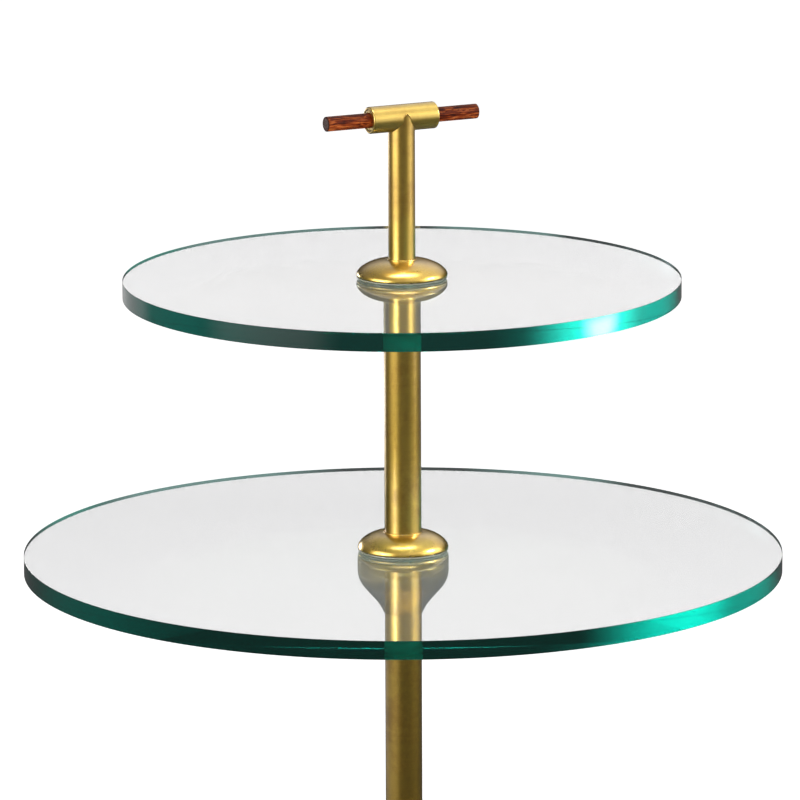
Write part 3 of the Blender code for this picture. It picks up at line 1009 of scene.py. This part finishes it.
@dataclass
class Handle:
    """The T-handle and the collar that lifts with it."""

    radius: float = 0.0092
    wall: float = 0.0016
    sleeve_length: float = 0.0495
    sleeve_edge: float = 0.0008
    bush_length: float = 0.008
    bush_edge: float = 0.0005
    bush_radius: float = 0.0073
    bush_bore: float = 0.0054
    bush_inset: float = 0.0003
    rod_radius: float = 0.0051
    rod_length: float = 0.1143
    rod_edge: float = 0.0006
    bead_radius: float = 0.0004
    bead_segments: int = 12
    tip_rise: float = 0.0038
    tip_swell: float = 0.0004
    tip_depth: float = 0.0125
    tip_sharpness: int = 5
    socket_radius: float = 0.0095
    recess: tuple[float, float] = (0.0093, 0.0028)
    steps: int = 96
    bar: BarAxis = BAR
    bun: BunCollar = field(default_factory=BunCollar)

    def _seam(self, place: Vector) -> Vector:
        """The point of the seam over a place on the stem's wall.

        The seam runs along the sleeve's underside, and braze fills it up to a tip at the front and
        the back, where it stands proud of the sleeve.
        """
        wall = Vector((place.x, place.y, 0))
        across = Vector((-math.sin(self.bar.turn), math.cos(self.bar.turn), 0)).dot(wall.normalized())
        seat = self.bar.height - self.radius * math.sqrt(1 - across**2)
        share = abs(across) ** self.tip_sharpness
        swell = 1 + self.tip_swell / self.radius * share
        return Vector((wall.x * swell, wall.y * swell, seat + self.tip_rise * share))

    def _stem(self) -> bmesh.types.BMesh:
        """The stem tube, coped to sit against the sleeve."""
        floor = floor_of("handle_stem")
        length = self.bar.height - floor
        mesh = bar_outline(self.radius - self.wall, self.radius, length, 0.0).turned(self.steps)
        bmesh.ops.bisect_plane(
            mesh,
            geom=mesh.verts[:] + mesh.edges[:] + mesh.faces[:],
            dist=MERGE_DISTANCE,
            plane_co=(0, 0, length - self.tip_depth),
            plane_no=(0, 0, 1),
        )
        for vertex in mesh.verts:
            if vertex.co.z > length - self.tip_depth / 2:
                vertex.co = self._seam(vertex.co)
            else:
                vertex.co.z += floor
        return mesh

    def _braze(self) -> bmesh.types.BMesh:
        """The bead of filler in the corner between the stem and the sleeve."""
        mesh = bmesh.new()
        circle = bmesh.ops.create_circle(mesh, segments=self.bead_segments, radius=self.bead_radius)
        points = circle["verts"]
        bmesh.ops.rotate(mesh, verts=points, cent=(0, 0, 0), matrix=Matrix.Rotation(math.pi / 2, 3, "X"))
        bmesh.ops.translate(mesh, verts=points, vec=(self.radius, 0, 0))
        mesh = spun(mesh, self.steps * 2)
        for vertex in mesh.verts:
            wall = Vector((vertex.co.x, vertex.co.y, 0)).normalized() * self.radius
            vertex.co += self._seam(wall) - wall
        return mesh

    def build(self, bench: Bench) -> None:
        """Makes the collar on the clamp's body and the whole of the handle's body."""
        collar = self.bun.mesh(self.socket_radius, self.recess)
        bench.finish(collar, "upper_collar_bun", Finish.POLISHED_BRASS, "upper_collar", Body.CLAMP)
        for mesh, name, node in (
            (self._stem(), "handle_stem_coped", "handle_stem"),
            (self._braze(), "handle_braze_bead", ""),
        ):
            bench.finish(mesh, name, Finish.SATIN_BRASS, node, Body.HANDLE, IN_PLACE)
        bore = self.radius - self.wall
        sleeve = bar_outline(bore, self.radius, self.sleeve_length, self.sleeve_edge)
        bush = (self.bush_bore, self.bush_radius, self.bush_length, self.bush_edge)
        rod = bar_outline(0, self.rod_radius, self.rod_length, self.rod_edge, 4)
        reach = self.sleeve_length / 2 - self.bush_inset
        for node, outline, finish, start in (
            ("handle_sleeve", sleeve, Finish.BAR_BRASS, -self.sleeve_length / 2),
            ("handle_bush_left", bar_outline(*bush), Finish.BAR_BRASS, -reach),
            ("handle_bush_right", bar_outline(*bush), Finish.BAR_BRASS, reach - self.bush_length),
            ("handle_rod", rod, Finish.ROSEWOOD, -self.rod_length / 2),
        ):
            mesh = outline.turned(self.steps)
            bench.finish(mesh, f"{node}_turned", finish, node, Body.HANDLE, self.bar.place(start))


# Studio


@dataclass(frozen=True)
class Softbox:
    """A rectangular lamp that faces the column and fades out towards its edges.

    Its bearing is measured in degrees from the camera's side of the column, to the right, and its
    elevation from the height that it is aimed at. Its radiance is how bright its middle looks in a
    mirror, where 1 is white. A lamp with turns shows only along the edges of the glasses, to light
    that was turned round that often or more inside a disc.
    """

    name: str
    bearing: float
    elevation: float
    width: float
    height: float
    radiance: float
    aim_height: float = 0.5
    fade: tuple[float, float] = (0.45, 0.45)
    distance: float = 1.7
    on_matt: bool = False
    in_mirrors: bool = True
    through_faces: bool = False
    turns: int = 0

    def build(self) -> None:
        """Hangs the lamp and points it at the column."""
        lamp = bpy.data.lights.new(self.name, "AREA")
        lamp.shape = "RECTANGLE"
        lamp.size = self.width
        lamp.size_y = self.height
        # An area lamp's radiance is its power over pi times its area.
        lamp.energy = self.radiance * math.pi * self.width * self.height
        self._fade_edges(lamp)
        stand = shown(self.name, lamp)
        turn, rise = math.radians(self.bearing), math.radians(self.elevation)
        aim = Vector((math.sin(turn) * math.cos(rise), -math.cos(turn) * math.cos(rise), math.sin(rise)))
        stand.location = aim * self.distance + Vector((0, 0, self.aim_height))
        stand.rotation_euler = (-aim).to_track_quat("-Z", "Y").to_euler()
        stand.visible_camera = False
        stand.visible_diffuse = self.on_matt
        stand.visible_glossy = self.in_mirrors
        stand.visible_transmission = self.through_faces or self.turns > 0

    def _fade_edges(self, lamp: bpy.types.Light) -> None:
        """Makes the lamp fade out over a share of its width and height, as cloth over a box does.

        Args:
            lamp: The lamp.
        """
        add = emptied(lamp)
        strength = 1.0
        sides = add("SeparateXYZ", [add("NewGeometry", output="Parametric")]).node.outputs
        for place, fade in zip(sides, self.fade):
            middle = add("Math", [place, 0.5], operation="SUBTRACT")
            away = add("Math", [middle], operation="ABSOLUTE")
            share = add("MapRange", [away, 0.5, 0.5 - fade], **SMOOTH)
            strength = add("Math", [strength, share], operation="MULTIPLY")
        if self.turns:
            strength = add("Math", [strength, turned_round(add, self.turns)], operation="MULTIPLY")
        add("OutputLight", {"Surface": add("Emission", {"Strength": strength})})


# Each lamp's bearing, elevation, width, height and radiance. The six glows light the glasses' edges.
SOFTBOXES = (
    Softbox("left softbox", -55, 0, 2.2, 1.7, 3.9, 0.95, (0.28, 0.33), on_matt=True),
    Softbox("right softbox", 84, 0, 3.0, 1.7, 2.0, 0.95, (0.35, 0.33), on_matt=True),
    Softbox("left lamp", -52, 12, 0.5, 0.42, 22.0),
    Softbox("right lamp", 83, 28, 0.85, 0.7, 28.0),
    Softbox("overhead softbox", 10, 86, 1.6, 0.9, 11.0, through_faces=True),
    Softbox("front fill", -12, 4, 1.9, 1.5, 7.0, on_matt=True, in_mirrors=False),
    Softbox("rim lamp", -143, 0, 0.9, 0.4, 6.0, 0.57, (0.35, 0.15)),
    Softbox("low strip", -145, 0, 1.2, 0.13, 5.0, 0.14),
    Softbox("edge strip", 85, 0, 0.75, 0.036, 14.0, 0.266),
    Softbox("end strip", -145, 0, 1.7, 0.16, 0.45, 0.23, (0.25, 0.3)),
    *(
        Softbox(
            f"{name} edge glow {part}", bearing, 0, width, 1.2, radiance, aim_height, (0.45, 0.02),
            in_mirrors=False, turns=turns,
        )
        for name, bearing, width, radiance in (
            ("narrow", -151, 0.87, 3.8),
            ("wide", -134, 2.5, 1.7),
            ("faint", 140, 1.8, 0.2),
        )
        for part, aim_height, turns in (("upper", 1.1, 3), ("lower", -0.1, 4))
    ),
)


@dataclass(frozen=True)
class Floor(NodeMaterial):
    """The pale floor: white to the camera, a neutral grey through the glasses, dim in the brass.

    Ramps over X and Y place things on the floor, and ramps over reach go by the distance from the
    column's foot.
    """

    name: str = "pale studio floor"
    size: float = 60.0
    colour: str = "#e4e4e4"
    glow: float = 0.92
    through_faces: Ramp = Ramp(1.85, 2.85, 1.525, 1.985)
    through_tint: tuple[float, float, float, float] = (1.115, 1.0, 1.011, 1.0)
    # Painted reflection: the far rim's dark and green, shown to light turned once in a glass.
    painted_rim_dark: str = "#08211c"
    painted_rim_green: str = "#38ab97"
    green_right: Ramp = Ramp(0.3, 1.2)
    green_back: Ramp = Ramp(0.2, 1.1)
    # Painted reflection: pale patches at the sides of the far rim.
    painted_rim_pale: str = "#86b3ab"
    pale_patch_slant: float = -0.35
    pale_patch_front: Ramp = Ramp(0.3, -0.3)
    pale_patch_aside: Ramp = Ramp(0.5, 1.1)
    # Painted shade under the table, seen in the far rim.
    painted_shade_under_table: str = "#404040"
    beyond_table: Ramp = Ramp(0.9, 1.4)
    mirrored: Ramp = Ramp(0.8, 4.0, 0.07, 0.22)
    # Painted highlight on the lower tube's flank, seen only in mirrors.
    painted_highlight_left: Ramp = Ramp(-0.4, -0.8)
    painted_highlight_near: Ramp = Ramp(1.6, 1.4, 0.0, 0.4)

    def build(self) -> None:
        """Lays the floor."""
        mesh = bmesh.new()
        bmesh.ops.create_grid(mesh, x_segments=1, y_segments=1, size=self.size / 2)
        data = bpy.data.meshes.new("floor")
        mesh.to_mesh(data)
        mesh.free()
        data.materials.append(self.material())
        shown("floor", data)

    def outputs(self, add: AddNode) -> dict[str, Socket]:
        """Shows each kind of ray what it sees of the floor."""
        path = add("LightPath").node.outputs
        in_glass = path["Is Transmission Ray"]
        seen_colour = add("Mix", {0: in_glass, 6: linear(WHITE), 7: self._through_glass(add)}, **COLOURS)
        share = add("Math", [path["Is Camera Ray"], self.glow, in_glass], operation="MULTIPLY_ADD")
        glow = add("Emission", {"Color": seen_colour, "Strength": share})
        matt = add("BsdfDiffuse", {"Color": linear(self.colour)})
        # A ray through glass sees the glow alone; a mirrored ray sees the dark studio round the set.
        lit = add("AddShader", [glow, matt])
        plain = add("MixShader", [in_glass, lit, glow])
        # Cycles also calls a ray glossy that has gone through glass, so that one is taken out.
        unbent = add("Math", [1.0, in_glass], operation="SUBTRACT")
        mirrored = add("Math", [path["Is Glossy Ray"], unbent], operation="MULTIPLY")
        x, _, reach = self._place(add)
        dimness = add("MapRange", [reach, *self.mirrored])
        # A painted highlight: for mirrored rays only, the floor glows brighter to the left of the foot,
        # and this shows on the lower tube's flank.
        left = add("MapRange", [x, *self.painted_highlight_left])
        near = add("MapRange", [reach, *self.painted_highlight_near])
        dimness = add("Math", [left, near, dimness], operation="MULTIPLY_ADD")
        dim = add("Emission", {"Color": linear(WHITE), "Strength": dimness})
        return {"Surface": add("MixShader", [mirrored, plain, dim])}

    def _place(self, add: AddNode) -> tuple[Socket, Socket, Socket]:
        """A place's X and Y and its distance from the column's foot."""
        place = add("TexCoord", output="Object")
        x, y, _ = add("SeparateXYZ", [place]).node.outputs
        return x, y, add("VectorMath", [place], "Value", operation="LENGTH")

    def _through_glass(self, add: AddNode) -> Socket:
        """The floor's colour as it is seen through the glasses.

        Light that went straight through a glass left the white set behind it. Light that was turned
        round once came off the far rim, and light turned round more often ran the length of the disc.

        Args:
            add: add_node, bound to the floor's tree.

        Returns:
            The colour.
        """
        # The higher glass is seen at a flatter angle and mirrors more, so its backdrop is brighter.
        straight = add("MapRange", [self._place(add)[2], *self.through_faces])
        # Iron in the glass takes out some red, and the photo's retouched faces are a neutral grey.
        neutral = {0: 1.0, 6: straight, 7: self.through_tint}
        evened = add("Mix", neutral, blend_type="MULTIPLY", **COLOURS)
        turned = add("Mix", {0: turned_round(add, 1), 6: evened, 7: self._far_rim(add)}, **COLOURS)
        length = (THROUGH_EDGE, THROUGH_EDGE, THROUGH_EDGE, 1.0)
        return add("Mix", {0: turned_round(add, 2), 6: turned, 7: length}, **COLOURS)

    def _far_rim(self, add: AddNode) -> Socket:
        """The floor's glow as it is seen off a glass's far rim: a painted reflection.

        Args:
            add: add_node, bound to the floor's tree.

        Returns:
            The colour.
        """
        x, y, reach = self._place(add)
        right = add("MapRange", [x, *self.green_right], **SMOOTH)
        back = add("MapRange", [y, *self.green_back], **SMOOTH)
        green = add("Math", [right, back], operation="MULTIPLY")
        rim = add("Mix", {0: green, 6: linear(self.painted_rim_dark), 7: linear(self.painted_rim_green)}, **COLOURS)
        # Painted reflection: two pale patches, one on each side, are painted into the floor's glow for
        # light turned once in a glass, and show in parts of the far rim.
        slant = add("Math", [x, self.pale_patch_slant, y], operation="MULTIPLY_ADD")
        in_front = add("MapRange", [slant, *self.pale_patch_front])
        aside = add("MapRange", [add("Math", [x], operation="ABSOLUTE"), *self.pale_patch_aside])
        on_pale_patch = add("Math", [in_front, aside], operation="MULTIPLY")
        rim = add("Mix", {0: on_pale_patch, 6: rim, 7: linear(self.painted_rim_pale)}, **COLOURS)
        # Painted shade: light turned once that meets the floor near the column's foot sees a dark grey.
        beyond = add("MapRange", [reach, *self.beyond_table])
        return add("Mix", {0: beyond, 6: linear(self.painted_shade_under_table), 7: rim}, **COLOURS)


@dataclass(frozen=True)
class Room:
    """The rest of the studio: white to the camera, dim and uneven in mirrors.

    Low down it goes by how far to the back a mirror looks, and high up by how far to the right.
    """

    low: Ramp = Ramp(0.7, -0.5, 0.03, 0.34)
    high: Ramp = Ramp(-0.55, 0.25, 0.3, 1.05)
    low_to: float = 0.1
    high_from: float = 0.55
    on_matt: float = 0.15

    def build(self) -> None:
        """Makes the world."""
        world = bpy.data.worlds.new("studio")
        bpy.context.scene.world = world
        add = emptied(world)
        x, y, z = add("SeparateXYZ", [add("TexCoord", output="Generated")]).node.outputs
        path = add("LightPath").node.outputs
        low = add("MapRange", [y, *self.low])
        high = add("MapRange", [x, *self.high])
        room = add("MapRange", [z, self.low_to, self.high_from, low, high], **SMOOTH)
        inside = [turned_round(add, 2), path["Is Transmission Ray"]]
        for ray, level in (
            (add("Math", inside, operation="MULTIPLY"), THROUGH_EDGE),
            (path["Is Diffuse Ray"], self.on_matt),
            (path["Is Camera Ray"], 1.0),
        ):
            room = add("MapRange", {0: ray, 3: room, 4: level})
        background = add("Background", {"Color": linear(WHITE), "Strength": room})
        add("OutputWorld", {"Surface": background})


@dataclass
class Studio:
    """The camera, the pale floor, the lamps and the world."""

    lens: float = 321.75
    camera_place: tuple[float, float, float] = (0.00165, -4.7826, 1.52445)
    tilt_down: float = 0.21
    heading: float = 0.0007
    roll: float = -0.0041
    sight: tuple[float, float] = (0.1, 200.0)
    all_bounces: int = 20
    glass_bounces: int = 16

    def build(self) -> None:
        """Sets up everything that isn't part of the table."""
        self._camera()
        Floor().build()
        for softbox in SOFTBOXES:
            softbox.build()
        Room().build()
        scene = bpy.context.scene
        scene.view_settings.view_transform = "Standard"
        # Light that is turned round inside a glass counts as glossy, and needs many turns to leave it.
        scene.cycles.max_bounces = self.all_bounces
        scene.cycles.glossy_bounces = self.glass_bounces
        scene.cycles.transmission_bounces = self.glass_bounces

    def _camera(self) -> None:
        """Places the camera as fitted to the photograph."""
        camera = bpy.data.cameras.new("camera")
        camera.lens = self.lens
        camera.clip_start, camera.clip_end = self.sight
        stand = shown("camera", camera)
        stand.matrix_world = (
            Matrix.Translation(self.camera_place)
            @ Matrix.Rotation(self.heading, 4, "Z")
            @ Matrix.Rotation(math.pi / 2 - self.tilt_down, 4, "X")
            @ Matrix.Rotation(self.roll, 4, "Z")
        )
        bpy.context.scene.camera = stand


def main() -> None:
    """Builds the studio and the table in order."""
    logging.basicConfig(level=logging.INFO, format="%(name)s: %(message)s")
    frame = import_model()
    Studio().build()
    bench = Bench({finish: finish.recipe.material() for finish in Finish})
    RoundBase().build(bench)
    Column().build(bench)
    for tier in ("lower", "upper"):
        GlassTier(tier).build(bench)
    TieRod().build(bench)
    Handle().build(bench)
    plugs = [f"{tube}_{end}_plug" for tube in ("lower", "middle") for end in ("foot", "head")]
    steel = ["tie_nut", "tie_washer", *plugs, "stem_nut", "retaining_ring", "rod_set_screw"]
    bench.repaint(frame, ["base_weight"], Finish.IRON)
    bench.repaint(frame, ["lower_glass_bush", "upper_glass_bush", "thrust_washer"], Finish.NYLON)
    bench.repaint(frame, steel, Finish.STEEL)


if __name__ == "__main__":
    main()
